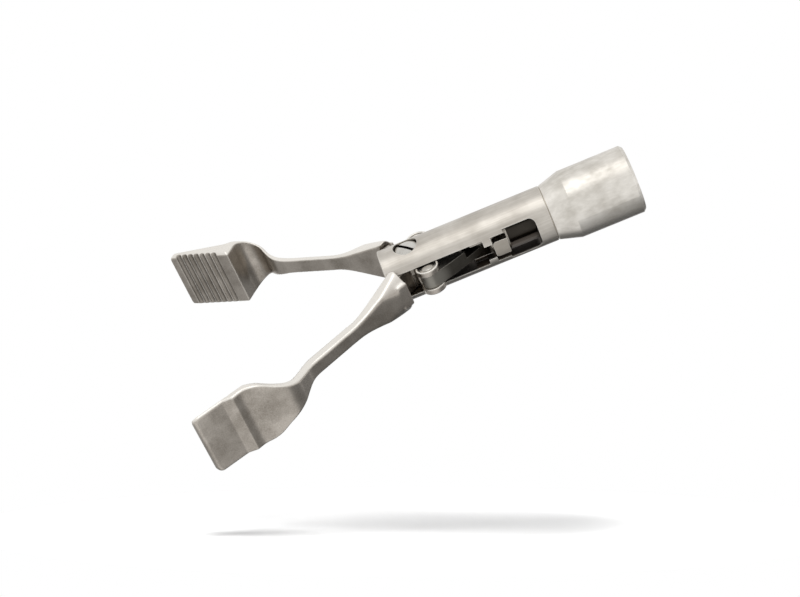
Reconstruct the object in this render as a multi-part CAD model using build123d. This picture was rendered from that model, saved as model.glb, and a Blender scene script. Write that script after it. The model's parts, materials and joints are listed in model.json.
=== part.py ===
from build123d import *
import os
from math import acos, asin, cos, degrees, radians, sin, sqrt, tan

# Working head of a 10 mm laparoscopic grasping forceps: a tubular housing with two crossing jaws on one
# slotted screw, closed by a pull rod through two links, and a collar that takes the instrument's shaft.
# Millimetres. X runs along the shaft towards the jaws, Z is the axis of the pivot screw, and the origin
# is the centre of the collar's rear face. The jaws stand open, at the end of the rod's forward travel.

# Shaft parts
housing_radius = 4.1
collar_radius = 5.0
cone_length = 3.2
cheek_length = 4.15
bore_radius = 2.75
spigot_radius = 3.35
spigot_length = 5.0
seam_land = 2.3
shaft_socket_radius = 4.3
shaft_socket_depth = 7.0
collar_edge = 0.4
edge_break = 0.12

# Openings in the housing wall, as widths across Z and lengths along X
slot_width = 4.05
tab_gap = 2.2
tab_length = 1.2
notch_length = 1.95
window_width = 4.9
window_length = 4.75
window_corner = 0.9

# Pivot screw
screw_radius = 1.0
screw_head_radius = 1.75
screw_head_height = 0.77
screw_face_height = 3.55
screw_tip_depth = 3.85
driver_slot_width = 0.45
driver_slot_depth = 0.38
driver_slot_angle = 128.0

# Linkage
opening_angle = 32.0
tail_length = 4.3
closed_tail_angle = 33.1
link_length = 8.83
link_width = 2.1
link_thickness = 2.05
link_eye_radius = 1.4
link_end_radius = 1.3
link_bow = 0.25
hub_radius = 2.0
tail_eye_radius = 1.7
tail_neck_width = 2.2
rivet_radius = 0.7
rivet_head_radius = 0.92
rivet_head_height = 0.24
rivet_recess_radius = 1.36
rivet_recess_depth = 0.3

# Drive head and rod
drive_pin_radius = 0.8
head_width = 3.8
clevis_nose = 1.4
lug_setback = 1.75
lug_length = 2.15
lug_width = 2.4
lug_corner = 0.45
head_tail_length = 0.25
rod_radius = 1.9
rod_spigot_radius = 1.1
rod_spigot_length = 1.5
cross_pin_radius = 0.35
bush_gap = 0.7
bush_length = 4.0
rod_overhang = 1.0
rod_socket_radius = 0.95
rod_socket_depth = 4.0
rod_edge = 0.2

# Jaws, closed: X from the pivot axis, Y outwards from the middle plane, Z across the pad
jaw_length = 40.4
pad_length = 10.4
pad_width = 9.55
pad_corner = 0.9
pad_tip_thickness = 0.85
groove_pitch = 1.05
groove_radius = 0.5
groove_depth = 0.42
tip_land = 1.1
pad_side_chamfer = 0.42
shank_width = 2.2
shank_inner = 1.93
shank_start = 13.0
shank_blend = 15.0
bowl_height = 4.15
foot_blend = 4.5
foot_blend_share = 0.9
heel_blend = 2.5
neck_flare_radius = 14.2
root_inner = 1.3
root_outer = 3.55
root_outer_start = 9.5
shoulder_width = 7.0
back_edge = 0.25

# Upper jaw: a flat wedge-shaped pad with the bowl cut straight down behind it
upper_groove_count = 7
upper_wedge_angle = 10.5
upper_bowl_radius = 2.0
upper_bowl_wall = 0.5
upper_bowl_ramp = 38.0
upper_bowl_fall = 45.0
upper_shank_outer = 2.9
upper_neck_lead = 0.5
upper_neck_corner = 0.9

# Lower jaw: a formed plate that leans in to the tip, with a step across its back
lower_groove_count = 5
lower_lean_angle = 8.5
lower_plate_length = 4.65
lower_step_length = 1.15
lower_step_height = 2.45
lower_valley_angle = 3.0
lower_heel_blend = 3.0
lower_bowl_radius = 2.2
lower_bowl_setback = 0.55
lower_bowl_wall = 1.2
lower_bowl_ramp = 29.0
lower_bowl_fall = 30.0
lower_shank_outer = 3.4
lower_neck_lead = 1.2
lower_neck_corner = 4.0

# Clearances
running_clearance = 0.05
side_clearance = 0.07
lap_clearance = 0.03
seat_clearance = 0.01
open_pivot_clearance = 0.2
sweep_clearance = 0.1
pad_clearance = 0.05
stop_clearance = 0.05
lug_clearance = 0.1

# Linkage worked out from the lengths above: the drive pin's place behind the pivot, open and closed
open_tail_angle = closed_tail_angle + opening_angle


def pin_setback(tail_angle):
    """Distance from the pivot axis back to the drive pin, for a tail's angle from the shaft axis."""
    across = tail_length * sin(radians(tail_angle))
    return tail_length * cos(radians(tail_angle)) + sqrt(link_length**2 - across**2)


def link_angle(tail_angle):
    """Angle between a link and the shaft axis."""
    return degrees(asin(tail_length * sin(radians(tail_angle)) / link_length))


pin_x = -pin_setback(open_tail_angle)
rod_travel = pin_setback(closed_tail_angle) - pin_setback(open_tail_angle)

# Places along the shaft, from the pivot axis back to the collar's rear face
clevis_floor_x = pin_x - link_end_radius - open_pivot_clearance
head_front_x = pin_x + clevis_nose
lug_front_x = pin_x - lug_setback
lug_rear_x = lug_front_x - lug_length
head_rear_x = lug_rear_x - head_tail_length
tab_rear_x = lug_front_x + stop_clearance
slot_rear_x = tab_rear_x + tab_length
notch_rear_x = tab_rear_x - notch_length
window_rear_x = notch_rear_x - window_length
bore_front_x = head_front_x + sweep_clearance
seam_x = window_rear_x - seam_land
bush_front_x = window_rear_x - bush_gap
bush_rear_x = bush_front_x - bush_length
rod_rear_x = bush_rear_x - rod_overhang
socket_floor_x = rod_rear_x - rod_travel - sweep_clearance
collar_rear_x = socket_floor_x - shaft_socket_depth
pivot = Pos(-collar_rear_x, 0, 0)

# Heights of the stack on the pivot
stack_half = slot_width / 2 - side_clearance
fork_gap_half = link_thickness / 2 + running_clearance
hub_sweep_radius = hub_radius + sweep_clearance
cheek_sweep_radius = sqrt(cheek_length**2 + housing_radius**2) + sweep_clearance
beyond = 2 * collar_radius


def bar(radius, rear, front):
    """Round bar along the shaft."""
    return Pos((rear + front) / 2, 0, 0) * Rot(0, 90, 0) * Cylinder(radius, front - rear)


def post(radius, low, high, x=0.0, y=0.0):
    """Round post along the pivot axis."""
    return Pos(x, y, (low + high) / 2) * Cylinder(radius, high - low)


def block(rear, front, half_y, half_z):
    """Block centred on the shaft axis."""
    return Pos((rear + front) / 2, 0, 0) * Box(front - rear, 2 * half_y, 2 * half_z)


def plate(outline, low, high):
    """Flat outline in X and Y, drawn up from one height to another."""
    return Pos(0, 0, low) * extrude(outline, high - low)


def make_housing():
    """Slotted tube with the two cheeks, the side openings and the rear spigot."""
    body = bar(housing_radius, seam_x, cheek_length)
    body = chamfer(body.edges().filter_by(GeomType.CIRCLE), edge_break)
    body += bar(spigot_radius, seam_x - spigot_length, seam_x)
    body -= bar(bore_radius, seam_x - beyond, bore_front_x)
    body -= block(slot_rear_x, cheek_length + beyond, beyond, slot_width / 2)
    body -= block(tab_rear_x, slot_rear_x, beyond, tab_gap / 2)
    body -= block(notch_rear_x, tab_rear_x, beyond, slot_width / 2)
    window = block(window_rear_x, notch_rear_x, beyond, window_width / 2)
    rear_corners = window.edges().filter_by(Axis.Y).group_by(Axis.X)[0]
    body -= fillet(rear_corners, window_corner)
    body -= post(screw_radius + seat_clearance, -beyond, beyond)
    counterbore_floor = screw_face_height - screw_head_height
    body -= post(screw_head_radius + running_clearance, counterbore_floor, beyond)
    return body


def make_collar():
    """Sleeve that widens from the housing to the shaft, with the shaft's socket in its rear end."""
    outside = Polyline(
        (collar_rear_x, 0),
        (collar_rear_x, collar_radius - collar_edge),
        (collar_rear_x + collar_edge, collar_radius),
        (seam_x - cone_length, collar_radius),
        (seam_x - edge_break, housing_radius),
        (seam_x, housing_radius - edge_break),
        (seam_x, 0),
        close=True,
    )
    body = revolve(make_face(outside), Axis.X)
    body -= bar(shaft_socket_radius, collar_rear_x - beyond, socket_floor_x)
    body -= bar(spigot_radius + seat_clearance, socket_floor_x - beyond, seam_x + beyond)
    return body


def make_pivot_screw():
    """Slotted cheese-head screw through the near cheek, both hubs and the far cheek."""
    seat = screw_face_height - screw_head_height
    head = post(screw_head_radius, seat, screw_face_height)
    head = chamfer(head.edges().group_by(Axis.Z)[-1], driver_slot_width / 4)
    driver_slot = Pos(0, 0, screw_face_height - driver_slot_depth / 2) * Rot(0, 0, driver_slot_angle)
    head -= driver_slot * Box(beyond, driver_slot_width, driver_slot_depth)
    shank = post(screw_radius, -screw_tip_depth, seat)
    shank = chamfer(shank.edges().group_by(Axis.Z)[0], driver_slot_width / 4)
    return head + shank


def tail_eye():
    """Centre of the tail's eye on a closed lower jaw."""
    angle = radians(closed_tail_angle)
    return -tail_length * cos(angle), -tail_length * sin(angle)


def meeting_point(first, first_angle, second, second_angle):
    """Point where two lines meet, each given by a point and its angle from the shaft axis."""
    slope = tan(radians(first_angle))
    other = tan(radians(second_angle))
    x = (second[1] - first[1] + slope * first[0] - other * second[0]) / (slope - other)
    return x, first[1] + slope * (x - first[0])


def round_corners(outline, corners):
    """Outline with each listed corner rounded to its radius."""
    for corner, radius in corners:
        outline = fillet(outline.vertices().sort_by_distance((*corner, 0))[0], radius)
    return outline


def point_on_arc(centre, radius, angle):
    """Point on a bowl's circle, at an angle from straight outwards, forwards positive."""
    return centre[0] + radius * sin(radians(angle)), centre[1] + radius * cos(radians(angle))


def foot_radius(ramp_end, foot, ramp_angle):
    """Blend at the foot of a ramp: the usual one, or as much of it as the ramp has room for."""
    ramp = sqrt((ramp_end[0] - foot[0])**2 + (ramp_end[1] - foot[1])**2)
    return min(foot_blend, foot_blend_share * ramp / tan(radians(ramp_angle / 2)))


def root_points(shank_outer):
    """Side view of a jaw's root beside the pivot, from the top of the shank round to the inner side."""
    root_angle = radians(90.0 - closed_tail_angle - opening_angle / 2)
    shoulder_x = cheek_length + 2 * sweep_clearance
    return [
        (shank_start, shank_outer),
        (root_outer_start, root_outer),
        (shoulder_x + hub_radius, housing_radius - sweep_clearance),
        (shoulder_x, housing_radius),
        (shoulder_x, hub_radius),
        (hub_radius * cos(root_angle), hub_radius * sin(root_angle)),
        (hub_radius, root_inner / 6),
        (shoulder_x, root_inner),
        (shank_start, shank_inner),
    ]


def upper_side_outline():
    """Side view of a closed upper jaw, turned over: flat pad, then the bowl with a thin even wall."""
    pad_rear = jaw_length - pad_length
    tip = (jaw_length, pad_clearance + pad_tip_thickness)
    centre = (pad_rear - upper_bowl_radius, bowl_height - upper_bowl_radius)
    bowl_rear = point_on_arc(centre, upper_bowl_radius, -upper_bowl_ramp)
    bowl_foot = meeting_point(bowl_rear, upper_bowl_ramp, (shank_start, shank_inner), 0)
    bowl_top = meeting_point(bowl_rear, upper_bowl_ramp, (pad_rear, bowl_height), 90)

    back_radius = upper_bowl_radius + upper_bowl_wall
    back_rear = point_on_arc(centre, back_radius, -upper_bowl_ramp)
    back_front = point_on_arc(centre, back_radius, upper_bowl_fall)
    back_top = meeting_point(back_rear, upper_bowl_ramp, back_front, -upper_bowl_fall)
    back_foot = meeting_point(back_rear, upper_bowl_ramp, (shank_start, upper_shank_outer), 0)
    heel = meeting_point(tip, -upper_wedge_angle, back_front, -upper_bowl_fall)

    points = [bowl_foot, bowl_top, (pad_rear, pad_clearance), (jaw_length, pad_clearance), tip, heel,
              back_top, back_foot, *root_points(upper_shank_outer)]
    return round_corners(make_face(Polyline(*points, close=True)), [
        (bowl_foot, foot_radius(bowl_rear, bowl_foot, upper_bowl_ramp)),
        (bowl_top, upper_bowl_radius),
        (heel, heel_blend),
        (back_top, back_radius),
        (back_foot, foot_radius(back_rear, back_foot, upper_bowl_ramp)),
        *root_blends(upper_shank_outer),
    ])


def lower_side_outline():
    """Side view of a closed lower jaw: leaning tip plate, step, valley and bowl, all one bent plate."""
    inner_tip = (jaw_length, pad_clearance)
    tip = (jaw_length, pad_clearance + pad_tip_thickness)
    centre = (jaw_length - pad_length - lower_bowl_setback - lower_bowl_radius,
              bowl_height - lower_bowl_radius)
    bowl_rear = point_on_arc(centre, lower_bowl_radius, -lower_bowl_ramp)
    bowl_front = point_on_arc(centre, lower_bowl_radius, lower_bowl_fall)
    bowl_foot = meeting_point(bowl_rear, lower_bowl_ramp, (shank_start, shank_inner), 0)
    bowl_top = meeting_point(bowl_rear, lower_bowl_ramp, bowl_front, -lower_bowl_fall)
    pad_heel = meeting_point(bowl_front, -lower_bowl_fall, inner_tip, -lower_lean_angle)

    back_radius = lower_bowl_radius + lower_bowl_wall
    back_rear = point_on_arc(centre, back_radius, -lower_bowl_ramp)
    back_front = point_on_arc(centre, back_radius, lower_bowl_fall)
    back_top = meeting_point(back_rear, lower_bowl_ramp, back_front, -lower_bowl_fall)
    back_foot = meeting_point(back_rear, lower_bowl_ramp, (shank_start, lower_shank_outer), 0)
    step_foot = meeting_point(tip, -lower_lean_angle, (jaw_length - lower_plate_length, 0), 90)
    step_top = (step_foot[0] - lower_step_length, lower_step_height)
    heel = meeting_point(step_top, -lower_valley_angle, back_front, -lower_bowl_fall)

    points = [bowl_foot, bowl_top, pad_heel, inner_tip, tip, step_foot, step_top, heel,
              back_top, back_foot, *root_points(lower_shank_outer)]
    return round_corners(make_face(Polyline(*points, close=True)), [
        (bowl_foot, foot_radius(bowl_rear, bowl_foot, lower_bowl_ramp)),
        (bowl_top, lower_bowl_radius),
        (pad_heel, lower_heel_blend),
        (heel, heel_blend),
        (back_top, back_radius),
        (back_foot, foot_radius(back_rear, back_foot, lower_bowl_ramp)),
        *root_blends(lower_shank_outer),
    ])


def root_blends(shank_outer):
    """Corners of a jaw's root that are rounded, with their radii."""
    return [
        ((shank_start, shank_inner), shank_blend),
        ((shank_start, shank_outer), shank_blend),
        ((root_outer_start, root_outer), shank_blend / 2),
    ]


def jaw_plan_outline(neck_lead, neck_corner):
    """Plan of a jaw in X and Z: shoulders, narrow shank, neck and the broad pad."""
    half_pad = pad_width / 2
    half_shank = shank_width / 2
    shoulder = (cheek_length + sweep_clearance, shoulder_width / 2)
    flare_turn = acos(1 - (half_pad - half_shank) / neck_flare_radius)
    flare_front = (jaw_length - pad_length + neck_lead, half_pad)
    flare_start = (flare_front[0] - neck_flare_radius * sin(flare_turn), half_shank)
    flare_middle = (
        flare_start[0] + neck_flare_radius * sin(flare_turn / 2),
        half_shank + neck_flare_radius * (1 - cos(flare_turn / 2)),
    )
    flare = ThreePointArc(flare_start, flare_middle, flare_front)
    rest = Polyline(flare_front, (jaw_length, half_pad), (jaw_length, 0), (shoulder[0], 0), shoulder,
                    (shank_start, half_shank), flare_start)
    half = make_face([flare, *rest.edges()])
    half = round_corners(half, [((shank_start, half_shank), shank_blend), (flare_front, neck_corner)])
    whole = half + mirror(half, Plane.XZ)
    tip_corners = whole.vertices().group_by(Axis.X)[-1]
    return fillet(tip_corners, pad_corner)


def back_edges(arm):
    """Edges round the faces of a jaw that look outwards, from the shank to the tip."""
    outward = [face for face in arm.faces() if face.normal_at().Y > 0.4 and face.center().X > shank_start]
    return [
        edge for face in outward for edge in face.edges()
        if abs(edge.tangent_at(0.5).Z) < 0.9 or edge.center().X > jaw_length - back_edge
    ]


def groove_pad(body, lean_angle, groove_count):
    """Jaw with its pad's side edges bevelled and the grooves cut across it, one after another."""
    face = Pos(jaw_length, pad_clearance, 0) * Rot(0, 0, -lean_angle)
    bevel_start = pad_width / 2 - pad_side_chamfer
    for turn in (45, -45):
        side = 1 if turn > 0 else -1
        bevel = Pos(0, 0, side * bevel_start) * Rot(turn, 0, 0) * Pos(0, 0, side * beyond / 2)
        body -= face * bevel * Box(2 * pad_length, beyond, beyond)
    for index in range(groove_count):
        setback = tip_land + (index + 0.5) * groove_pitch
        body -= face * post(groove_radius, -beyond, beyond, -setback, groove_depth - groove_radius)
    return body


def make_closed_jaw(side, plan, lean_angle, groove_count):
    """Jaw in its closed place, as a lower one: hub, forked tail, root, shank, bowl and grooved pad."""
    solid_side = plate(side, -beyond, beyond)
    solid_plan = extrude(Plane.XZ * plan, beyond, both=True)
    arm = solid_side & solid_plan
    arm = chamfer(back_edges(arm), back_edge)
    near = bar(housing_radius, 0, shank_start) + bar(beyond, shank_start, jaw_length + beyond)
    arm = (arm & near) - Sphere(cheek_sweep_radius)
    root = solid_side & block(0, cheek_sweep_radius + sweep_clearance, beyond, stack_half)

    eye_x, eye_y = tail_eye()
    tail = post(tail_eye_radius, -stack_half, stack_half, eye_x, eye_y)
    neck = Rot(0, 0, closed_tail_angle) * Pos(-tail_length / 2, 0, 0)
    tail += neck * Box(tail_length, tail_neck_width, 2 * stack_half)
    body = arm + root + tail
    body -= post(hub_sweep_radius, -beyond, lap_clearance)
    body += post(hub_radius, lap_clearance, stack_half)

    fork_slot = post(2 * tail_length, -fork_gap_half, fork_gap_half)
    web_radius = tail_length - link_eye_radius - running_clearance
    fork_slot -= post(web_radius, -fork_gap_half, fork_gap_half)
    fork_slot &= Pos(-beyond, 0, 0) * Box(2 * beyond, 4 * beyond, 2 * beyond)
    body -= fork_slot
    body -= post(screw_radius + running_clearance, -beyond, beyond)
    body -= post(rivet_radius + seat_clearance, -beyond, beyond, eye_x, eye_y)
    recess_floor = stack_half - rivet_recess_depth
    body -= post(rivet_recess_radius, recess_floor, stack_half + beyond, eye_x, eye_y)
    body -= post(rivet_recess_radius, -stack_half - beyond, -recess_floor, eye_x, eye_y)

    return groove_pad(body, lean_angle, groove_count)


def make_closed_rivet():
    """Tail rivet with a head in each recess of the fork."""
    eye_x, eye_y = tail_eye()
    seat = stack_half - rivet_recess_depth
    rivet = post(rivet_radius, -seat, seat, eye_x, eye_y)
    for low in (seat, -seat - rivet_head_height):
        rivet += post(rivet_head_radius, low, low + rivet_head_height, eye_x, eye_y)
    rim = [rivet.edges().group_by(Axis.Z)[index] for index in (0, -1)]
    return chamfer([*rim[0], *rim[1]], rivet_head_height / 2)


def make_link():
    """Link from the tail's eye, at the origin, back along X to the drive pin, its outer edge on -Y."""
    pin = (-link_length, 0)
    outer_edge = ThreePointArc(
        (0, -link_eye_radius),
        (-link_length / 2, -link_end_radius - link_bow),
        (-link_length, -link_end_radius),
    )
    inner = link_width - link_end_radius
    inner_edge = Polyline((-link_length, -link_end_radius), (-link_length, inner), (0, inner),
                          (0, -link_eye_radius))
    half = link_thickness / 2
    body = plate(make_face([outer_edge, *inner_edge.edges()]), -half, half)
    body += post(link_eye_radius, -half, half)
    body += post(link_end_radius, -half, half, *pin)
    lap_radius = inner / sin(radians(link_angle(closed_tail_angle))) + link_end_radius / 2
    body -= post(lap_radius, -half - beyond, lap_clearance, *pin)
    body -= post(rivet_radius + running_clearance, -beyond, beyond)
    body -= post(drive_pin_radius + open_pivot_clearance, -beyond, beyond, *pin)
    return body


def make_drive_head():
    """Flat-sided head on the rod: clevis for the links in front, two guide lugs out to the sides."""
    core = bar(bore_radius - sweep_clearance, head_rear_x, head_front_x)
    core &= block(head_rear_x, head_front_x, beyond, head_width / 2)
    lugs = bar(housing_radius - lug_clearance, lug_rear_x, lug_front_x)
    lugs &= block(lug_rear_x, lug_front_x, beyond, lug_width / 2)
    front_edges = lugs.edges().filter_by(Axis.Y).group_by(Axis.X)[-1]
    body = core + fillet(front_edges, lug_corner)
    body -= block(clevis_floor_x, head_front_x + beyond, beyond, fork_gap_half)
    body -= post(drive_pin_radius + seat_clearance, -beyond, beyond, pin_x)
    body -= bar(rod_spigot_radius + seat_clearance, head_rear_x, head_rear_x + rod_spigot_length)
    body -= post(cross_pin_radius + seat_clearance, -beyond, beyond, cross_pin_x())
    return body


def cross_pin_x():
    """Place of the pin that locks the rod into the head."""
    return head_rear_x + rod_spigot_length / 2


def make_drive_pin():
    """Pin through the clevis and both links."""
    return post(drive_pin_radius, -head_width / 2, head_width / 2, pin_x)


def make_cross_pin():
    """Thin pin through the head and the rod's spigot."""
    return post(cross_pin_radius, -head_width / 2, head_width / 2, cross_pin_x())


def make_pull_rod():
    """Rod from the head back through the bush, with a blind socket in its rear end."""
    body = bar(rod_radius, rod_rear_x, head_rear_x)
    body = chamfer(body.edges().filter_by(GeomType.CIRCLE).group_by(Axis.X)[0], rod_edge)
    body += bar(rod_spigot_radius, head_rear_x, head_rear_x + rod_spigot_length)
    body -= bar(rod_socket_radius, rod_rear_x - beyond, rod_rear_x + rod_socket_depth)
    body -= post(cross_pin_radius + seat_clearance, -beyond, beyond, cross_pin_x())
    return body


def make_guide_bush():
    """Plain bush that guides the rod in the housing's rear end."""
    ring = bar(bore_radius - seat_clearance, bush_rear_x, bush_front_x)
    return ring - bar(rod_radius + running_clearance, bush_rear_x - beyond, bush_front_x + beyond)


def as_lower(shape):
    """Closed lower-jaw shape turned to the open place."""
    return Rot(0, 0, opening_angle) * shape


def as_upper(shape):
    """The same shape turned over about the shaft axis, for the jaw on the other side."""
    return Rot(180, 0, 0) * as_lower(shape)


def place_link():
    """Link on the open lower jaw's tail eye."""
    angle = radians(open_tail_angle)
    eye = Pos(-tail_length * cos(angle), -tail_length * sin(angle), 0)
    return eye * Rot(0, 0, -link_angle(open_tail_angle)) * make_link()


def build_pieces():
    """Every separate piece by its name, with the pivot axis through the origin."""
    rivet = make_closed_rivet()
    link = place_link()
    lower_plan = jaw_plan_outline(lower_neck_lead, lower_neck_corner)
    upper_plan = jaw_plan_outline(upper_neck_lead, upper_neck_corner)
    lower_jaw = make_closed_jaw(lower_side_outline(), lower_plan, lower_lean_angle, lower_groove_count)
    upper_jaw = make_closed_jaw(upper_side_outline(), upper_plan, 0.0, upper_groove_count)
    return {
        "housing": make_housing(),
        "collar": make_collar(),
        "pivot_screw": make_pivot_screw(),
        "guide_bush": make_guide_bush(),
        "lower_jaw": as_lower(lower_jaw),
        "upper_jaw": as_upper(upper_jaw),
        "lower_tail_rivet": as_lower(rivet),
        "upper_tail_rivet": as_upper(rivet),
        "lower_link": link,
        "upper_link": Rot(180, 0, 0) * link,
        "drive_head": make_drive_head(),
        "drive_pin": make_drive_pin(),
        "rod_cross_pin": make_cross_pin(),
        "pull_rod": make_pull_rod(),
    }


os.makedirs("parts", exist_ok=True)
for name, shape in build_pieces().items():
    export_step(pivot * shape, f"parts/{name}.step")
print(f"pivot axis {-collar_rear_x:.3f} mm from the rear face, rod travel {rod_travel:.3f} mm")
print(f"drive pin {pin_x:.3f} mm, link angle {link_angle(open_tail_angle):.3f} open, "
      f"{link_angle(closed_tail_angle):.3f} closed")
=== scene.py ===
"""Working head of laparoscopic grasping forceps: steel finishes, crowned rivets, studio, camera."""
import json
import logging
import math
from dataclasses import dataclass, field, replace
from enum import Enum
from typing import Any, ClassVar

import bmesh
import bpy
from mathutils import Matrix, Vector


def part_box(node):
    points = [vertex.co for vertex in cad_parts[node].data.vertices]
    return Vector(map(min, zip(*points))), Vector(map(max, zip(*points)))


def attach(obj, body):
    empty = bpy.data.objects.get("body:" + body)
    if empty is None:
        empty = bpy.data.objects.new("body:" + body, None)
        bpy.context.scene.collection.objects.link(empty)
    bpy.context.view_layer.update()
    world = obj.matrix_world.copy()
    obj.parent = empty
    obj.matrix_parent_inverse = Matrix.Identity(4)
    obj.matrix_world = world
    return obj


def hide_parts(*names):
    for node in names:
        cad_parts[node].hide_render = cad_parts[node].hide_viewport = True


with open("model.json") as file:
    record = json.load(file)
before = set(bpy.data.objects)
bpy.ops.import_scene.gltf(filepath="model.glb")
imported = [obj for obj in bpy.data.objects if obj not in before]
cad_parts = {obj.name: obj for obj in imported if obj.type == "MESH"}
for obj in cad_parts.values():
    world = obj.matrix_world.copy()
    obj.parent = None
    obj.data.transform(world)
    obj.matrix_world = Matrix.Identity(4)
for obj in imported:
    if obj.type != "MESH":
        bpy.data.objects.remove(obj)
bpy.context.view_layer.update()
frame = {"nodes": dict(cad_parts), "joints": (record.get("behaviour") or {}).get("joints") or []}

MM = 0.001
LOG = logging.getLogger("forceps_head")

# Hinge at the middle of the pivot screw, on the shaft's axis: the studio is laid out from it.
MAIN_HINGE = "lower_jaw_pivot"
WHITE = "FFFFFF"

# The sRGB curve: straight up to its toe and a power above it.
CHANNEL_STEPS, CURVE_TOE, TOE_SLOPE, CURVE_OFFSET, CURVE_POWER = 255, 0.04045, 12.92, 0.055, 2.4

# Numbers of the Mix node's sockets, which have the same names for numbers and for colours.
MIX_SHARE, MIX_NUMBERS, MIX_COLOURS = 0, (2, 3), (6, 7)
MIXED_NUMBER, MIXED_COLOUR = 0, 2

Colour = tuple[float, float, float, float]


def linear(hex_colour: str) -> Colour:
    """Turn an sRGB hex colour into a linear one.

    Args:
        hex_colour: Six hex digits, with or without a leading hash.

    Returns:
        Red, green, blue and alpha as Blender's sockets take them.
    """
    digits = hex_colour.lstrip("#")
    channels = [int(digits[at:at + 2], 16) / CHANNEL_STEPS for at in (0, 2, 4)]
    curved = [channel / TOE_SLOPE if channel <= CURVE_TOE
              else ((channel + CURVE_OFFSET) / (1 + CURVE_OFFSET)) ** CURVE_POWER
              for channel in channels]
    return (*curved, 1.0)


def add_node(tree: bpy.types.NodeTree, kind: str, settings: dict[str, Any] | None = None,
             inputs: dict[str | int, Any] | None = None) -> bpy.types.Node:
    """Add one node with its settings, and with a value or a link on each named input.

    Args:
        tree: Tree that gets the node.
        kind: Blender's name for the node's type.
        settings: Attributes of the node itself.
        inputs: A value, or an output socket to link from, for each input's name or number.

    Returns:
        The new node.
    """
    node = tree.nodes.new(kind)
    for name, value in (settings or {}).items():
        setattr(node, name, value)
    for name, value in (inputs or {}).items():
        if isinstance(value, bpy.types.NodeSocket):
            tree.links.new(value, node.inputs[name])
        else:
            node.inputs[name].default_value = value
    return node


def empty_tree(owner: bpy.types.Material | bpy.types.World) -> bpy.types.NodeTree:
    """Switch on the nodes of a new material or world and clear them.

    Args:
        owner: The material or world.

    Returns:
        Its empty node tree.
    """
    owner.use_nodes = True
    owner.node_tree.nodes.clear()
    return owner.node_tree


def level_round(tree: bpy.types.NodeTree, centre: tuple[float, ...] | Vector,
                reach: tuple[float, float], levels: tuple[float, float]) -> bpy.types.NodeSocket:
    """Give a level that goes over smoothly from one value near a point to another far from it.

    Args:
        tree: Tree that gets the nodes.
        centre: The point, in metres.
        reach: Distances from it at which the change starts and ends, in metres.
        levels: Values up to the first distance and from the second one on.

    Returns:
        Output socket of the level.
    """
    place = add_node(tree, "ShaderNodeTexCoord").outputs["Object"]
    away = add_node(tree, "ShaderNodeVectorMath", {"operation": "DISTANCE"}, {
        0: place, 1: tuple(centre)})
    level = add_node(tree, "ShaderNodeMapRange", {"interpolation_type": "SMOOTHSTEP"}, {
        "Value": away.outputs["Value"], "From Min": reach[0], "From Max": reach[1],
        "To Min": levels[0], "To Max": levels[1]})
    return level.outputs["Result"]


def background_rays(tree: bpy.types.NodeTree) -> bpy.types.NodeSocket:
    """Give 1 for the rays that see the background white, and 0 for the others.

    Args:
        tree: Tree that gets the nodes.

    Returns:
        Output socket, 1 for camera, glossy and clear rays.
    """
    path = add_node(tree, "ShaderNodeLightPath")
    mirrored = add_node(tree, "ShaderNodeMath", {"operation": "MAXIMUM"}, {
        0: path.outputs["Is Camera Ray"], 1: path.outputs["Is Glossy Ray"]})
    every = add_node(tree, "ShaderNodeMath", {"operation": "MAXIMUM"}, {
        0: mirrored.outputs[0], 1: path.outputs["Is Transmission Ray"]})
    return every.outputs[0]


def hinge_place(joint: str) -> tuple[float, float, float]:
    """Place of a hinge in the row frame, in metres."""
    return next(tuple(j["pos_m"]) for j in frame["joints"] if j["name"] == joint)


def ramp(value: float, low: float, high: float) -> float:
    """Give 0 up to low, 1 from high on, and a straight share between."""
    return min(max((value - low) / (high - low), 0.0), 1.0)


class Lay(Enum):
    """Way that a finish's marks run, as how many times longer they are along X, Y and Z."""

    BLASTED = (1.0, 1.0, 1.0)
    ALONG_SHAFT = (26.0, 1.0, 1.0)
    ROUND_SHAFT = (0.6, 3.0, 3.0)
    HAND_RUBBED = (5.0, 2.0, 2.0)


@dataclass(frozen=True)
class Speckle:
    """A noise pattern: how fine it is, and which of its values are spread out to 0 and 1."""

    detail: float
    roughness: float
    low: float
    high: float

    def draw(self, tree: bpy.types.NodeTree, place: bpy.types.NodeSocket,
             scale: float) -> tuple[bpy.types.NodeSocket, bpy.types.NodeSocket]:
        """Draw the pattern.

        Args:
            tree: The finish's own tree.
            place: Where on the piece the pattern is read.
            scale: How many patches go into one unit of place.

        Returns:
            Output sockets of the bare pattern and of the one spread out from 0 to 1.
        """
        noise = add_node(tree, "ShaderNodeTexNoise", inputs={
            "Vector": place, "Scale": scale, "Detail": self.detail, "Roughness": self.roughness})
        spread = add_node(tree, "ShaderNodeMapRange", inputs={
            "Value": noise.outputs["Fac"], "From Min": self.low, "From Max": self.high})
        return noise.outputs["Fac"], spread.outputs["Result"]


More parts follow.
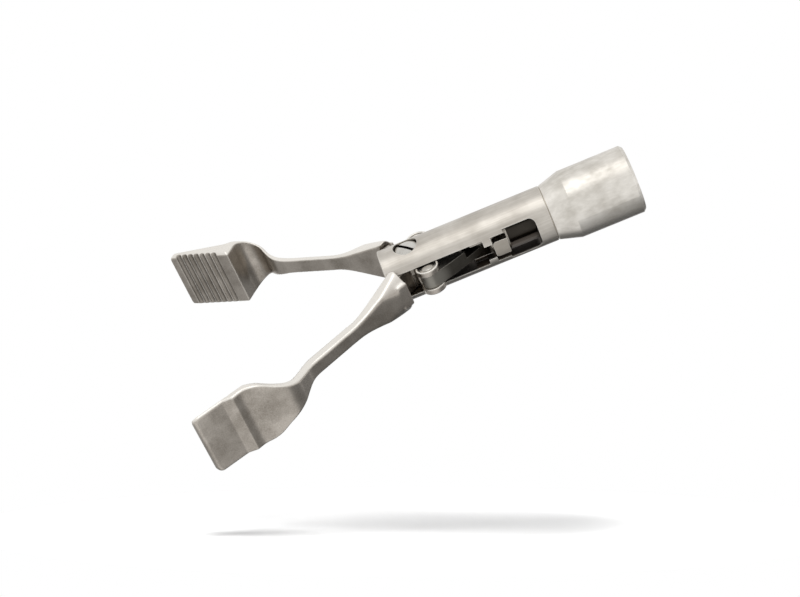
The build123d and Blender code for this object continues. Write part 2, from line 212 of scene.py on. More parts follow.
@dataclass(frozen=True)
class MetalFinish:
    """One finish on metal: its tones, its sheen and the size of its marks."""

    name: str
    tone: str
    cloud: str
    # Tone of the rubbed edges, also taken by the painted sheen on the sides and by the spot kept
    # out of painted shade.
    rubbed: str
    roughness: float
    roughness_swing: float
    lay: Lay
    mark_mm: float
    mark_depth_mm: float
    cloud_mm: float
    edge_mm: float
    # Share of the painted sheen on faces that look along the pivot's axis.
    side_sheen_share: float = 0.0
    # Centre and size of a spot kept out of the painted shade, in the steel's brighter tone.
    unshaded_at: tuple[float, float, float] | None = None
    unshaded_mm: float = 1.0
    # Tone of the painted shade in grooves and hollows, and how far it looks for them.
    hollow_shade_tone: str | None = None
    hollow_mm: float = 1.0
    # Tone of the painted shade in the bore, and the bore's radius.
    bore_shade_tone: str | None = None
    bore_mm: float = 0.0

    # Clouds are the wide soft patches, marks the fine scratches or pits. The marks have this
    # share in the tone and in the sheen.
    CLOUDS: ClassVar[Speckle] = Speckle(detail=3.0, roughness=0.55, low=0.34, high=0.66)
    MARKS: ClassVar[Speckle] = Speckle(detail=5.0, roughness=0.62, low=0.3, high=0.7)
    MARKS_SHARE: ClassVar[float] = 0.45
    # Edges: rays that look for one, width of the rubbed band in edge widths, cosine of the turn
    # at which the rubbing starts and is full, and how bright it gets.
    EDGE_SAMPLES: ClassVar[int] = 6
    RUBBED_WIDTHS: ClassVar[float] = 1.6
    RUBBED_TURN: ClassVar[tuple[float, float]] = (0.995, 0.86)
    RUBBED_SHARE: ClassVar[float] = 0.8
    # Sides: how far a face has to look along the pivot's axis to get the painted sheen, at first
    # and fully.
    SIDE_TURN: ClassVar[tuple[float, float]] = (0.35, 0.8)
    # Spot kept out of the painted shade: where its fading ends, in spot sizes.
    UNSHADED_FADE: ClassVar[float] = 2.2
    # Hollows, darkened with painted shade: rays that look for one, and how open they are where the
    # dark starts and is full.
    HOLLOW_SAMPLES: ClassVar[int] = 8
    HOLLOW_SKY: ClassVar[tuple[float, float]] = (0.96, 0.6)
    # Bore, darkened with painted shade: half the width of the change from its tone to the skin's.
    BORE_FADE_MM: ClassVar[float] = 0.06

    def material(self) -> bpy.types.Material:
        """Build the finish as a node material, or find it if it is there already.

        Returns:
            The material.
        """
        found = bpy.data.materials.get(self.name)
        if found:
            return found
        made = bpy.data.materials.new(self.name)
        tree = empty_tree(made)
        place = add_node(tree, "ShaderNodeTexCoord").outputs["Object"]
        stretch = [1 / (self.mark_mm * MM * along) for along in self.lay.value]
        marks_at = add_node(tree, "ShaderNodeMapping", inputs={"Vector": place, "Scale": stretch})
        marks, marks_spread = self.MARKS.draw(tree, marks_at.outputs["Vector"], 1.0)
        _, clouds_spread = self.CLOUDS.draw(tree, place, 1 / (self.cloud_mm * MM))
        both = add_node(tree, "ShaderNodeMix", {"data_type": "FLOAT"}, {
            MIX_SHARE: self.MARKS_SHARE, MIX_NUMBERS[0]: clouds_spread,
            MIX_NUMBERS[1]: marks_spread}).outputs[MIXED_NUMBER]
        colour: Colour | bpy.types.NodeSocket = linear(self.cloud)
        for share, tone in [(both, self.tone), *self.wear_and_shade_layers(tree, place)]:
            colour = add_node(tree, "ShaderNodeMix", {"data_type": "RGBA"}, {
                MIX_SHARE: share, MIX_COLOURS[0]: colour,
                MIX_COLOURS[1]: linear(tone)}).outputs[MIXED_COLOUR]
        rough = add_node(tree, "ShaderNodeMapRange", inputs={
            "Value": both, "To Min": self.roughness + self.roughness_swing,
            "To Max": self.roughness - self.roughness_swing})
        rounded = add_node(tree, "ShaderNodeBevel", {"samples": self.EDGE_SAMPLES}, {
            "Radius": self.edge_mm * MM})
        bump = add_node(tree, "ShaderNodeBump", inputs={
            "Strength": 1.0, "Distance": self.mark_depth_mm * MM,
            "Height": marks, "Normal": rounded.outputs["Normal"]})
        steel = add_node(tree, "ShaderNodeBsdfPrincipled", inputs={
            "Metallic": 1.0, "Base Color": colour,
            "Roughness": rough.outputs["Result"], "Normal": bump.outputs["Normal"]})
        add_node(tree, "ShaderNodeOutputMaterial", inputs={"Surface": steel.outputs["BSDF"]})
        return made

    def wear_and_shade_layers(self, tree: bpy.types.NodeTree,
                    place: bpy.types.NodeSocket) -> list[tuple[bpy.types.NodeSocket, str]]:
        """List what lies over the plain tones: rubbed edges, painted sheen on the sides and the
        spot kept out of painted shade, then painted shade in the hollows, then painted shade in the
        bore.

        Args:
            tree: The finish's own tree.
            place: Place on the piece, in metres.

        Returns:
            Share and sRGB tone of each layer, from the lowest up.
        """
        bright = self.rubbed_share(tree)
        brighter = []
        # Painted sheen on the sides.
        if self.side_sheen_share:
            brighter.append(self.painted_side_sheen(tree))
        # Spot kept out of the painted shade.
        if self.unshaded_at:
            reach = (self.unshaded_mm * MM, self.UNSHADED_FADE * self.unshaded_mm * MM)
            brighter.append(level_round(tree, self.unshaded_at, reach, (1.0, 0.0)))
        for share in brighter:
            bright = add_node(tree, "ShaderNodeMath", {"operation": "MAXIMUM"}, {
                0: bright, 1: share}).outputs[0]
        # Rubbed edges are wear; the sheen on the sides and the bright spot are painted light.
        layers = [(bright, self.rubbed)]
        # Painted shade in the hollows.
        if self.hollow_shade_tone:
            layers.append((self.hollow_shade_share(tree), self.hollow_shade_tone))
        # Painted shade in the bore.
        if self.bore_shade_tone:
            layers.append((self.bore_shade_share(tree, place), self.bore_shade_tone))
        return layers

    def rubbed_share(self, tree: bpy.types.NodeTree) -> bpy.types.NodeSocket:
        """Give how far each place is rubbed bright, from how near an edge it is.

        Args:
            tree: The finish's own tree.

        Returns:
            Output socket, 0 on open faces and up to RUBBED_SHARE on the edges.
        """
        wide = add_node(tree, "ShaderNodeBevel", {"samples": self.EDGE_SAMPLES}, {
            "Radius": self.RUBBED_WIDTHS * self.edge_mm * MM})
        face = add_node(tree, "ShaderNodeNewGeometry")
        turned = add_node(tree, "ShaderNodeVectorMath", {"operation": "DOT_PRODUCT"}, {
            0: wide.outputs["Normal"], 1: face.outputs["Normal"]})
        share = add_node(tree, "ShaderNodeMapRange", inputs={
            "Value": turned.outputs["Value"], "From Min": self.RUBBED_TURN[0],
            "From Max": self.RUBBED_TURN[1], "To Min": 0.0, "To Max": self.RUBBED_SHARE})
        return share.outputs["Result"]

    def painted_side_sheen(self, tree: bpy.types.NodeTree) -> bpy.types.NodeSocket:
        """Give how far each place lies on a side with a painted sheen, across the pivot's axis.

        Args:
            tree: The finish's own tree.

        Returns:
            Output socket, from 0 up to the share of the painted sheen.
        """
        face = add_node(tree, "ShaderNodeNewGeometry")
        parts = add_node(tree, "ShaderNodeSeparateXYZ", inputs={0: face.outputs["Normal"]})
        size = add_node(tree, "ShaderNodeMath", {"operation": "ABSOLUTE"}, {0: parts.outputs["Z"]})
        share = add_node(tree, "ShaderNodeMapRange", {"interpolation_type": "SMOOTHSTEP"}, {
            "Value": size.outputs[0], "From Min": self.SIDE_TURN[0],
            "From Max": self.SIDE_TURN[1], "To Min": 0.0, "To Max": self.side_sheen_share})
        return share.outputs["Result"]

    def hollow_shade_share(self, tree: bpy.types.NodeTree) -> bpy.types.NodeSocket:
        """Give how far each place lies in a groove or hollow, which gets painted shade.

        Args:
            tree: The finish's own tree.

        Returns:
            Output socket, 0 on open faces and 1 deep in a hollow.
        """
        sky = add_node(tree, "ShaderNodeAmbientOcclusion", {
            "samples": self.HOLLOW_SAMPLES, "only_local": True}, {"Distance": self.hollow_mm * MM})
        share = add_node(tree, "ShaderNodeMapRange", inputs={
            "Value": sky.outputs["AO"], "From Min": self.HOLLOW_SKY[0],
            "From Max": self.HOLLOW_SKY[1], "To Min": 0.0, "To Max": 1.0})
        return share.outputs["Result"]

    def bore_shade_share(self, tree: bpy.types.NodeTree,
                   place: bpy.types.NodeSocket) -> bpy.types.NodeSocket:
        """Give how far each place lies in the bore, which gets painted shade, from how near the
        shaft's axis it is.

        Args:
            tree: The finish's own tree.
            place: Place on the piece, in metres.

        Returns:
            Output socket, 1 within bore_mm of the axis and 0 on the skin outside it.
        """
        _, height, depth = hinge_place(MAIN_HINGE)
        across = add_node(tree, "ShaderNodeVectorMath", {"operation": "SUBTRACT"}, {
            0: place, 1: (0.0, height, depth)})
        flat = add_node(tree, "ShaderNodeVectorMath", {"operation": "MULTIPLY"}, {
            0: across.outputs["Vector"], 1: (0.0, 1.0, 1.0)})
        away = add_node(tree, "ShaderNodeVectorMath", {"operation": "LENGTH"}, {
            0: flat.outputs["Vector"]})
        share = add_node(tree, "ShaderNodeMapRange", inputs={
            "Value": away.outputs["Value"],
            "From Min": (self.bore_mm - self.BORE_FADE_MM) * MM,
            "From Max": (self.bore_mm + self.BORE_FADE_MM) * MM, "To Min": 1.0, "To Max": 0.0})
        return share.outputs["Result"]


# Seamless tube, turned and then drawn through fine abrasive along its length: soft straight
# streaks, and a bore darkened with painted shade.
SATIN_TUBE = MetalFinish(
    name="satin_turned_stainless", tone="CCC7BF", cloud="A9A39A", rubbed="E6E3DC",
    roughness=0.37, roughness_swing=0.07, lay=Lay.ALONG_SHAFT, mark_mm=0.26,
    mark_depth_mm=0.0016, cloud_mm=4.2, edge_mm=0.10, bore_shade_tone="575049", bore_mm=3.85)
# Collar, rubbed by hand with abrasive fleece: blotchy and a little brighter.
RUBBED_COLLAR = MetalFinish(
    name="hand_rubbed_stainless", tone="E9E5DE", cloud="BBB6AD", rubbed="F4F1EB",
    roughness=0.34, roughness_swing=0.08, lay=Lay.HAND_RUBBED, mark_mm=0.35,
    mark_depth_mm=0.0022, cloud_mm=3.8, edge_mm=0.12)
# Jaws, blasted with glass beads: even, soft and grey, the edges rubbed bright in use,
# the sides given a painted sheen and the hollows painted shade.
BLASTED_JAW = MetalFinish(
    name="bead_blasted_stainless", tone="C1BAB1", cloud="827B72", rubbed="EDE9E2",
    roughness=0.32, roughness_swing=0.06, lay=Lay.BLASTED, mark_mm=0.16,
    mark_depth_mm=0.003, cloud_mm=3.6, edge_mm=0.20, side_sheen_share=0.85,
    hollow_shade_tone="5E5850", hollow_mm=1.0)
# Links, blasted: matt, with a near-black tone that is painted shade from the slot they lie in.
SHADED_LINK = MetalFinish(
    name="shaded_stainless", tone="56534D", cloud="403D38", rubbed="8A8780",
    roughness=0.42, roughness_swing=0.06, lay=Lay.BLASTED, mark_mm=0.14,
    mark_depth_mm=0.003, cloud_mm=2.5, edge_mm=0.10)
# Screw, turned and polished: the smoothest face, with painted shade in its slot.
POLISHED_SCREW = MetalFinish(
    name="polished_stainless", tone="D6D4CF", cloud="B4B1AA", rubbed="F0EEEA",
    roughness=0.24, roughness_swing=0.04, lay=Lay.BLASTED, mark_mm=0.12,
    mark_depth_mm=0.0008, cloud_mm=2.0, edge_mm=0.06, hollow_shade_tone="3B3833", hollow_mm=0.7)
# Rivets and pins, cold-headed and left as formed: smooth and a little grey.
FORMED_RIVET = MetalFinish(
    name="cold_headed_stainless", tone="C4C0B9", cloud="A8A39B", rubbed="DEDAD3",
    roughness=0.30, roughness_swing=0.05, lay=Lay.BLASTED, mark_mm=0.12,
    mark_depth_mm=0.001, cloud_mm=1.6, edge_mm=0.05)
# Drive head, milled and left bright: straight marks along the shaft.
MILLED_HEAD = MetalFinish(
    name="milled_stainless", tone="A39D94", cloud="8E887F", rubbed="DAD6CE",
    roughness=0.32, roughness_swing=0.06, lay=Lay.ALONG_SHAFT, mark_mm=0.16,
    mark_depth_mm=0.0014, cloud_mm=2.2, edge_mm=0.10)
# Pull rod, centreless ground, with fine rings round it and a near-black tone that is painted shade
# inside the tube.
SHADED_GROUND_ROD = MetalFinish(
    name="shaded_ground_stainless", tone="3C3833", cloud="2D2A26", rubbed="7A756D",
    roughness=0.32, roughness_swing=0.05, lay=Lay.ROUND_SHAFT, mark_mm=0.12,
    mark_depth_mm=0.001, cloud_mm=2.6, edge_mm=0.08)
# Guide bush, sintered bronze: brown, matt and full of fine pores.
SINTERED_BUSH = MetalFinish(
    name="sintered_bronze", tone="9C7E4E", cloud="7C6340", rubbed="C2A878",
    roughness=0.45, roughness_swing=0.06, lay=Lay.BLASTED, mark_mm=0.12,
    mark_depth_mm=0.004, cloud_mm=2.0, edge_mm=0.08)


def add_object(name: str, data: bpy.types.ID) -> bpy.types.Object:
    """Put a mesh, a light or a camera into the scene.

    Args:
        name: Name of the object.
        data: What the object shows.

    Returns:
        The new object, at the origin.
    """
    made = bpy.data.objects.new(name, data)
    bpy.context.scene.collection.objects.link(made)
    return made


def flat_sheet(name: str, corners: list[Vector]) -> bpy.types.Mesh:
    """Make a flat mesh of one face.

    Args:
        name: Name of the mesh.
        corners: Its corners in order, in metres.

    Returns:
        The mesh.
    """
    mesh = bpy.data.meshes.new(name)
    mesh.from_pydata([tuple(corner) for corner in corners], [], [list(range(len(corners)))])
    mesh.update()
    return mesh


def dress(node: str, finish: MetalFinish) -> None:
    """Give a CAD node its finish on every material slot.

    Args:
        node: CAD node, kept as it is apart from its material.
        finish: The finish.
    """
    piece = frame["nodes"][node]
    made = finish.material()
    if not piece.material_slots:
        piece.data.materials.append(made)
    for slot in piece.material_slots:
        slot.material = made
    LOG.info("%s has %s", node, finish.name)


def add_piece(name: str, mesh: bpy.types.Mesh, finish: MetalFinish, body: str,
              replaced: str) -> None:
    """Put a finished mesh into the scene in the place of a CAD node.

    Args:
        name: Name of the new piece.
        mesh: Its mesh, in metres, in the row frame.
        finish: Finish for all of it.
        body: Body that it rides on.
        replaced: CAD node that it stands for.
    """
    mesh.name = name
    mesh.materials.clear()
    mesh.materials.append(finish.material())
    mesh.shade_smooth()
    piece = add_object(name, mesh)
    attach(piece, body)
    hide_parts(replaced)
    LOG.info("%s replaces %s", name, replaced)


def settle(piece: bpy.types.Object) -> bpy.types.Mesh:
    """Turn a piece with its modifiers into a plain mesh and drop the piece.

    Args:
        piece: Object with live modifiers.

    Returns:
        The finished mesh.
    """
    bpy.context.view_layer.update()
    graph = bpy.context.evaluated_depsgraph_get()
    mesh = bpy.data.meshes.new_from_object(piece.evaluated_get(graph))
    bpy.data.objects.remove(piece)
    return mesh


def skin_over(node: str, voxel_mm: float, merge_mm: float = 0.0005) -> bpy.types.Mesh:
    """Skin a CAD node with small even faces.

    Args:
        node: CAD node, copied and left as it is.
        voxel_mm: Size of a face.
        merge_mm: Corners closer than this become one before the skin is laid.

    Returns:
        The skin in millimetres, in the row frame.
    """
    mesh = frame["nodes"][node].data.copy()
    mesh.transform(Matrix.Scale(1 / MM, 4))
    work = bmesh.new()
    work.from_mesh(mesh)
    bmesh.ops.remove_doubles(work, verts=work.verts, dist=merge_mm)
    bmesh.ops.recalc_face_normals(work, faces=work.faces)
    work.to_mesh(mesh)
    work.free()
    skin = add_object(f"{node}_skin", mesh)
    remesh = skin.modifiers.new("skin", "REMESH")
    remesh.mode, remesh.voxel_size, remesh.adaptivity = "VOXEL", voxel_mm, 0.0
    return settle(skin)


@dataclass
class ShaftHead:
    """Slotted tube with its collar, crowned pivot screw and rod bush."""

    finishes: dict[str, MetalFinish] = field(default_factory=lambda: {
        "housing": SATIN_TUBE, "collar": RUBBED_COLLAR, "guide_bush": SINTERED_BUSH})
    screw_voxel_mm: float = 0.05
    screw_radius_mm: float = 1.75
    screw_crown_mm: float = 0.12
    # Depths under the screw's top: the crown lifts all of it down to the first, and nothing below
    # the second.
    screw_rim_mm: float = 0.1
    slot_depth_mm: float = 0.45

    def build(self) -> None:
        """Dress the pieces that stay still and crown the screw."""
        for node, finish in self.finishes.items():
            dress(node, finish)
        add_piece("pivot_screw_crowned", self.crown_screw(), POLISHED_SCREW, "shaft_head",
                  "pivot_screw")

    def crown_screw(self) -> bpy.types.Mesh:
        """Raise the screw's head into a low crown and leave its slot's floor flat.

        Returns:
            The screw's mesh in metres.
        """
        mesh = skin_over("pivot_screw", self.screw_voxel_mm)
        axis = Vector(hinge_place(MAIN_HINGE)).xy / MM
        top = max(vertex.co.z for vertex in mesh.vertices)
        for vertex in mesh.vertices:
            out = min((vertex.co.xy - axis).length / self.screw_radius_mm, 1.0)
            free = ramp(vertex.co.z, top - self.slot_depth_mm, top - self.screw_rim_mm)
            vertex.co.z += self.screw_crown_mm * (1 - out * out) * free
        mesh.transform(Matrix.Scale(MM, 4))
        return mesh


@dataclass
class JawPair:
    """The two crossing jaws, with every edge and hollow softened as on a finished forging."""

    nodes: tuple[str, str] = ("lower_jaw", "upper_jaw")
    voxel_mm: float = 0.1
    smooth_factor: float = 0.5
    skin_passes: int = 3
    root_passes: int = 70
    # Along the arm from the pivot: nothing is smoothed up to the first, all of it from the second.
    joint_mm: tuple[float, float] = (2.8, 4.2)
    # From the pivot: the root's extra passes hold up to the first and have faded at the second.
    root_mm: tuple[float, float] = (10.5, 15.0)

    def build(self) -> None:
        """Make both softened jaws."""
        for node in self.nodes:
            add_piece(f"{node}_forging", self.soften(node), BLASTED_JAW, node, node)

    def soften(self, node: str) -> bpy.types.Mesh:
        """Skin a jaw with even small faces and smooth it, most at its root, not at its joints.

        Args:
            node: CAD node of the jaw.

        Returns:
            Smoothed mesh in metres.
        """
        mesh = skin_over(node, self.voxel_mm)
        skin = add_object("jaw_skin", mesh)
        arm, root = skin.vertex_groups.new(name="arm"), skin.vertex_groups.new(name="root")
        pivot = Vector(hinge_place(f"{node}_pivot")).xy / MM
        total = sum((vertex.co.xy for vertex in mesh.vertices), Vector((0.0, 0.0)))
        arm_way = (total / len(mesh.vertices) - pivot).normalized()
        for vertex in mesh.vertices:
            away = vertex.co.xy - pivot
            free = ramp(away.dot(arm_way), *self.joint_mm)
            arm.add([vertex.index], free, "REPLACE")
            root.add([vertex.index], free * (1 - ramp(away.length, *self.root_mm)), "REPLACE")
        for group, passes in (("arm", self.skin_passes), ("root", self.root_passes)):
            smooth = skin.modifiers.new(group, "SMOOTH")
            smooth.factor, smooth.iterations = self.smooth_factor, passes
            smooth.vertex_group = group
        mesh = settle(skin)
        mesh.transform(Matrix.Scale(MM, 4))
        return mesh


@dataclass
class ToggleLinkage:
    """Two links and the crowned rivets that join them to the jaws' tails."""

    rivets: dict[str, str] = field(default_factory=lambda: {
        "lower_link": "lower_tail_rivet", "upper_link": "upper_tail_rivet"})
    jaws: dict[str, str] = field(default_factory=lambda: {
        "lower_tail_rivet": "lower_jaw", "upper_tail_rivet": "upper_jaw"})
    head_radius_mm: float = 0.92
    shank_radius_mm: float = 0.6
    # Height over the rivet's middle at which a crown starts.
    crown_from_mm: float = 1.655
    steps_round: int = 48
    crown_rings: int = 24
    eye_unshaded_mm: float = 1.5

    def build(self) -> None:
        """Dress the links in painted shade, left brighter round their eyes, and make the crowned
        rivets.
        """
        tree = self.rivet_nodes()
        for link, rivet in self.rivets.items():
            low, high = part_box(rivet)
            centre = (Vector(low) + Vector(high)) / 2
            # The link's near-black tone is painted shade; the spot round its eye keeps a brighter
            # tone.
            dress(link, replace(SHADED_LINK, name=f"shaded_stainless_{link}",
                                unshaded_at=tuple(centre), unshaded_mm=self.eye_unshaded_mm))
            self.make_rivet(rivet, centre, (high[2] - low[2]) / 2 / MM, tree)

    def make_rivet(self, node: str, centre: Vector, half_mm: float,
                   tree: bpy.types.NodeTree) -> None:
        """Make one rivet from the node tree.

        Args:
            node: CAD node of the rivet.
            centre: Middle of the rivet in the row frame, in metres.
            half_mm: Half of its length over both crowns.
            tree: The crowned rivet's geometry nodes.
        """
        mesh = bpy.data.meshes.new(node)
        mesh.from_pydata([tuple(centre / MM)], [], [])
        rivet = add_object(node, mesh)
        nodes = rivet.modifiers.new("crowned_rivet", "NODES")
        nodes.node_group = tree
        sizes = {"Head radius": self.head_radius_mm, "Shank radius": self.shank_radius_mm,
                 "Crown start": self.crown_from_mm, "Half length": half_mm,
                 "Finish": FORMED_RIVET.material()}
        for item in tree.interface.items_tree:
            if item.item_type == "SOCKET" and item.in_out == "INPUT" and item.name in sizes:
                nodes[item.identifier] = sizes[item.name]
        mesh = settle(rivet)
        mesh.transform(Matrix.Scale(MM, 4))
        add_piece(f"{node}_crowned", mesh, FORMED_RIVET, self.jaws[node], node)

    def rivet_nodes(self) -> bpy.types.NodeTree:
        """Build a rivet's geometry nodes: a shank at each point and a crown at both of its ends.

        Returns:
            The node tree, with its sizes in millimetres as named inputs.
        """
        tree = bpy.data.node_groups.new("crowned_rivet", "GeometryNodeTree")
        for name, side, kind in (
                ("Points", "INPUT", "Geometry"), ("Head radius", "INPUT", "Float"),
                ("Shank radius", "INPUT", "Float"), ("Crown start", "INPUT", "Float"),
                ("Half length", "INPUT", "Float"), ("Finish", "INPUT", "Material"),
                ("Rivets", "OUTPUT", "Geometry")):
            tree.interface.new_socket(name, in_out=side, socket_type=f"NodeSocket{kind}")
        given = add_node(tree, "NodeGroupInput").outputs
        ball = add_node(tree, "GeometryNodeMeshUVSphere", inputs={
            "Segments": self.steps_round, "Rings": self.crown_rings, "Radius": 1.0})
        height = add_node(tree, "ShaderNodeMath", {"operation": "SUBTRACT"}, {
            0: given["Half length"], 1: given["Crown start"]})
        crown_size = add_node(tree, "ShaderNodeCombineXYZ", inputs={
            "X": given["Head radius"], "Y": given["Head radius"], "Z": height.outputs[0]})
        shank_length = add_node(tree, "ShaderNodeMath", {"operation": "MULTIPLY"}, {
            0: given["Crown start"], 1: 2.0})
        shank = add_node(tree, "GeometryNodeMeshCylinder", inputs={
            "Vertices": self.steps_round, "Radius": given["Shank radius"],
            "Depth": shank_length.outputs[0]})
        pieces = [(shank.outputs["Mesh"], (1.0, 1.0, 1.0), 0.0)]
        pieces += [(ball.outputs["Mesh"], crown_size.outputs[0], end) for end in (1.0, -1.0)]
        joined = add_node(tree, "GeometryNodeJoinGeometry")
        for shape, size, end in pieces:
            lift = add_node(tree, "ShaderNodeMath", {"operation": "MULTIPLY"}, {
                0: given["Crown start"], 1: end})
            offset = add_node(tree, "ShaderNodeCombineXYZ", inputs={"Z": lift.outputs[0]})
            moved = add_node(tree, "GeometryNodeTransform", inputs={
                "Geometry": shape, "Translation": offset.outputs[0], "Scale": size})
            tree.links.new(moved.outputs[0], joined.inputs[0])
        placed = add_node(tree, "GeometryNodeInstanceOnPoints", inputs={
            "Points": given["Points"], "Instance": joined.outputs[0]})
        real = add_node(tree, "GeometryNodeRealizeInstances", inputs={
            "Geometry": placed.outputs[0]})
        finished = add_node(tree, "GeometryNodeSetMaterial", inputs={
            "Geometry": real.outputs[0], "Material": given["Finish"]})
        add_node(tree, "NodeGroupOutput", inputs={0: finished.outputs[0]})
        return tree


@dataclass
class PullRod:
    """Drive head with its pins, and the rod behind it."""

    # The pull rod's near-black tone is painted shade.
    finishes: dict[str, MetalFinish] = field(default_factory=lambda: {
        "drive_head": MILLED_HEAD, "drive_pin": FORMED_RIVET,
        "rod_cross_pin": FORMED_RIVET, "pull_rod": SHADED_GROUND_ROD})

    def build(self) -> None:
        """Dress the pieces that slide."""
        for node, finish in self.finishes.items():
            dress(node, finish)


@dataclass(frozen=True)
class Viewpoint:
    """The photograph's viewpoint: how the head lies to the camera, and where its pivot shows."""

    roll_deg: float = 22.21
    turn_deg: float = 57.21
    lean_deg: float = 3.28
    picture_px: tuple[int, int] = (800, 597)
    pivot_px: tuple[float, float] = (414.36, 267.56)
    px_per_mm: float = 7.073
    distance_px: float = 1993.0
    sensor_mm: float = 36.0
    clip_m: tuple[float, float] = (0.01, 10.0)

    def axes(self) -> tuple[Vector, Vector, Vector]:
        """Work out the picture's own directions.

        Returns:
            Directions in the row frame of the picture's right and up, and towards the camera.
        """
        roll, turn, lean = (math.radians(a) for a in (self.roll_deg, self.turn_deg, self.lean_deg))
        along = Vector((math.cos(roll), -math.sin(roll), 0.0))
        across = Vector((math.sin(roll), math.cos(roll), 0.0))
        out = Vector((0.0, 0.0, 1.0))
        leaned = math.cos(lean) * out - math.sin(lean) * along
        jaws = -(math.cos(lean) * along + math.sin(lean) * out)
        side = math.cos(turn) * across + math.sin(turn) * leaned
        screw = -math.sin(turn) * across + math.cos(turn) * leaned
        right, down, towards = (Vector((jaws[i], side[i], screw[i])) for i in range(3))
        return right, -down, towards

    def place(self, right_mm: float, up_mm: float, towards_mm: float) -> Vector:
        """Find a point from its distances from the pivot in the picture's own directions.

        Args:
            right_mm: Distance to the picture's right.
            up_mm: Distance up the picture.
            towards_mm: Distance towards the camera.

        Returns:
            The point in the row frame, in metres.
        """
        right, up, towards = self.axes()
        pivot = Vector(hinge_place(MAIN_HINGE))
        return pivot + (right * right_mm + up * up_mm + towards * towards_mm) * MM

    def make_camera(self) -> None:
        """Set up the camera and make it the scene's own."""
        width, height = self.picture_px
        lens = bpy.data.cameras.new("photo_camera")
        lens.sensor_width = self.sensor_mm
        lens.lens = self.sensor_mm * self.distance_px / width
        lens.clip_start, lens.clip_end = self.clip_m
        camera = add_object("photo_camera", lens)
        right, up, towards = self.axes()
        turned = Matrix((right, up, towards)).transposed().to_4x4()
        turned.translation = self.place(
            (width / 2 - self.pivot_px[0]) / self.px_per_mm,
            -(height / 2 - self.pivot_px[1]) / self.px_per_mm,
            self.distance_px / self.px_per_mm)
        camera.matrix_world = turned
        bpy.context.scene.camera = camera


@dataclass(frozen=True)
class GreyCard:
    """A soft-edged grey card beside the head that only its steel mirrors, placed like a softbox."""

    name: str
    right_mm: float
    up_mm: float
    towards_mm: float
    size_mm: float
    grey: float

    # Shares of the size at which the grey starts to go over to white and is white.
    FADE: ClassVar[tuple[float, float]] = (0.26, 0.5)
    CORNERS: ClassVar[tuple[tuple[int, int], ...]] = ((-1, -1), (1, -1), (1, 1), (-1, 1))
    BLIND_RAYS: ClassVar[tuple[str, ...]] = (
        "camera", "diffuse", "transmission", "volume_scatter", "shadow")

    def build(self, view: Viewpoint) -> None:
        """Make the card, facing the pivot, and keep it out of the picture and of the light.

        Args:
            view: Viewpoint that the card's place is given from.
        """
        centre = view.place(self.right_mm, self.up_mm, self.towards_mm)
        facing = (view.place(0, 0, 0) - centre).to_track_quat("Z", "Y").to_matrix()
        half = self.size_mm * MM / 2
        mesh = flat_sheet(self.name, [centre + facing @ Vector((x * half, y * half, 0.0))
                                      for x, y in self.CORNERS])
        mesh.materials.append(self.paint(centre))
        card = add_object(self.name, mesh)
        for ray in self.BLIND_RAYS:
            setattr(card, f"visible_{ray}", False)

    def paint(self, centre: Vector) -> bpy.types.Material:
        """Make the card's own grey, going over to the background's white at the rim.

        Args:
            centre: Middle of the card, in metres.

        Returns:
            The material.
        """
        made = bpy.data.materials.new(f"{self.name}_paint")
        tree = empty_tree(made)
        reach = tuple(share * self.size_mm * MM for share in self.FADE)
        glow = add_node(tree, "ShaderNodeEmission", inputs={
            "Color": linear(WHITE),
            "Strength": level_round(tree, centre, reach, (self.grey, 1.0))})
        add_node(tree, "ShaderNodeOutputMaterial", inputs={"Surface": glow.outputs[0]})
        return made


@dataclass(frozen=True)
class Softbox:
    """A square studio light, placed from the pivot in the picture's own directions."""

    name: str
    right_mm: float
    up_mm: float
    towards_mm: float
    size_mm: float
    watts: float
    mirrored: bool = True

    def build(self, view: Viewpoint) -> None:
        """Make the light and aim it at the pivot.

        Args:
            view: Viewpoint that the light's place is given from.
        """
        lamp = bpy.data.lights.new(self.name, "AREA")
        lamp.shape = "SQUARE"
        lamp.size = self.size_mm * MM
        lamp.energy = self.watts
        light = add_object(self.name, lamp)
        light.visible_glossy = self.mirrored
        light.location = view.place(self.right_mm, self.up_mm, self.towards_mm)
        aim = view.place(0, 0, 0) - light.location
        light.rotation_mode = "QUATERNION"
        light.rotation_quaternion = aim.to_track_quat("-Z", "Y")


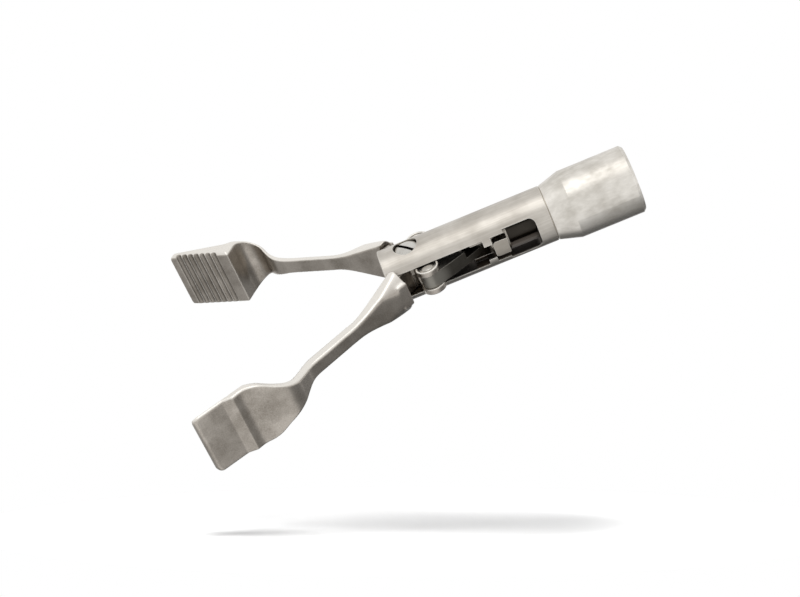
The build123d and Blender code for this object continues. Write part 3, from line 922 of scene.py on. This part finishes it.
@dataclass
class Studio:
    """White studio: pale floor below the head, level world light, soft lamps and grey cards."""

    view: Viewpoint
    floor_drop_mm: float = 36.0
    floor_tip_deg: float = -1.0
    floor_radius_mm: float = 62.0
    floor_steps: int = 96
    floor_tone: str = "E8E8E8"
    # Glow of the floor in the middle and at the rim, and the shares of the radius between which
    # it changes.
    floor_glow: tuple[float, float] = (0.0, 1.0)
    floor_fade: tuple[float, float] = (0.35, 0.85)
    world_strength: float = 0.06
    lamps: tuple[Softbox, ...] = (
        Softbox("key_softbox", right_mm=-60.0, up_mm=190.0, towards_mm=150.0,
                size_mm=160.0, watts=0.08),
        Softbox("overhead_softbox", right_mm=0.0, up_mm=190.0, towards_mm=0.0,
                size_mm=150.0, watts=0.74, mirrored=False),
    )
    cards: tuple[GreyCard, ...] = (
        GreyCard("grey_card_below", right_mm=-60.0, up_mm=-115.0, towards_mm=-50.0,
                 size_mm=240.0, grey=0.52),
        GreyCard("grey_card_right", right_mm=115.0, up_mm=-65.0, towards_mm=0.0,
                 size_mm=210.0, grey=0.26),
        GreyCard("grey_card_back", right_mm=60.0, up_mm=-85.0, towards_mm=-95.0,
                 size_mm=210.0, grey=0.12),
        GreyCard("grey_card_far_right", right_mm=115.0, up_mm=-5.0, towards_mm=-95.0,
                 size_mm=130.0, grey=0.2),
    )

    def build(self) -> None:
        """Make the world, the floor, the lamps and the cards."""
        self.make_world()
        self.make_floor()
        for item in (*self.lamps, *self.cards):
            item.build(self.view)

    def make_world(self) -> None:
        """Light the scene with a level grey, seen as white by the rays of the background."""
        world = bpy.data.worlds.new("studio_world")
        tree = empty_tree(world)
        given, seen = (
            add_node(tree, "ShaderNodeBackground", inputs={
                "Color": linear(WHITE), "Strength": strength})
            for strength in (self.world_strength, 1.0))
        mixed = add_node(tree, "ShaderNodeMixShader", inputs={
            0: background_rays(tree), 1: given.outputs[0], 2: seen.outputs[0]})
        add_node(tree, "ShaderNodeOutputWorld", inputs={"Surface": mixed.outputs[0]})
        bpy.context.scene.world = world

    def make_floor(self) -> None:
        """Lay the round pale floor that keeps the head's shadow and is white elsewhere."""
        right, up, towards = self.view.axes()
        tip = math.radians(self.floor_tip_deg)
        normal = up * math.cos(tip) + towards * math.sin(tip)
        ahead = normal.cross(right)
        centre = self.view.place(0, -self.floor_drop_mm, 0)
        angles = [2 * math.pi * step / self.floor_steps for step in range(self.floor_steps)]
        mesh = flat_sheet("floor", [
            centre + (right * math.cos(a) + ahead * math.sin(a)) * self.floor_radius_mm * MM
            for a in angles])
        mesh.materials.append(self.floor_paint(centre))
        floor = add_object("floor", mesh)
        # Were the floor seen in reflections, it would turn the underside of the lower jaw white.
        floor.visible_glossy = False

    def floor_paint(self, centre: Vector) -> bpy.types.Material:
        """Make the floor's matt paint, which glows to white at the rim and is clear from below.

        Args:
            centre: Middle of the floor, in metres.

        Returns:
            The material.
        """
        made = bpy.data.materials.new("matt_white_paint")
        tree = empty_tree(made)
        matt = add_node(tree, "ShaderNodeBsdfDiffuse", inputs={"Color": linear(self.floor_tone)})
        reach = tuple(share * self.floor_radius_mm * MM for share in self.floor_fade)
        strength = add_node(tree, "ShaderNodeMath", {"operation": "MULTIPLY"}, {
            0: background_rays(tree), 1: level_round(tree, centre, reach, self.floor_glow)})
        glow = add_node(tree, "ShaderNodeEmission", inputs={
            "Color": linear(WHITE), "Strength": strength.outputs[0]})
        shown = add_node(tree, "ShaderNodeAddShader", inputs={
            0: matt.outputs[0], 1: glow.outputs[0]})
        clear = add_node(tree, "ShaderNodeBsdfTransparent")
        face = add_node(tree, "ShaderNodeNewGeometry")
        one_sided = add_node(tree, "ShaderNodeMixShader", inputs={
            0: face.outputs["Backfacing"], 1: shown.outputs[0], 2: clear.outputs[0]})
        add_node(tree, "ShaderNodeOutputMaterial", inputs={"Surface": one_sided.outputs[0]})
        return made


def main() -> None:
    """Set up the camera, then build the head's pieces and the studio."""
    logging.basicConfig(level=logging.INFO, format="%(message)s")
    bpy.context.scene.view_settings.view_transform = "Standard"
    view = Viewpoint()
    view.make_camera()
    for part in (ShaftHead(), JawPair(), ToggleLinkage(), PullRod()):
        part.build()
        LOG.info("%s built", type(part).__name__)
    Studio(view).build()
    LOG.info("studio built")


if __name__ == "__main__":
    main()
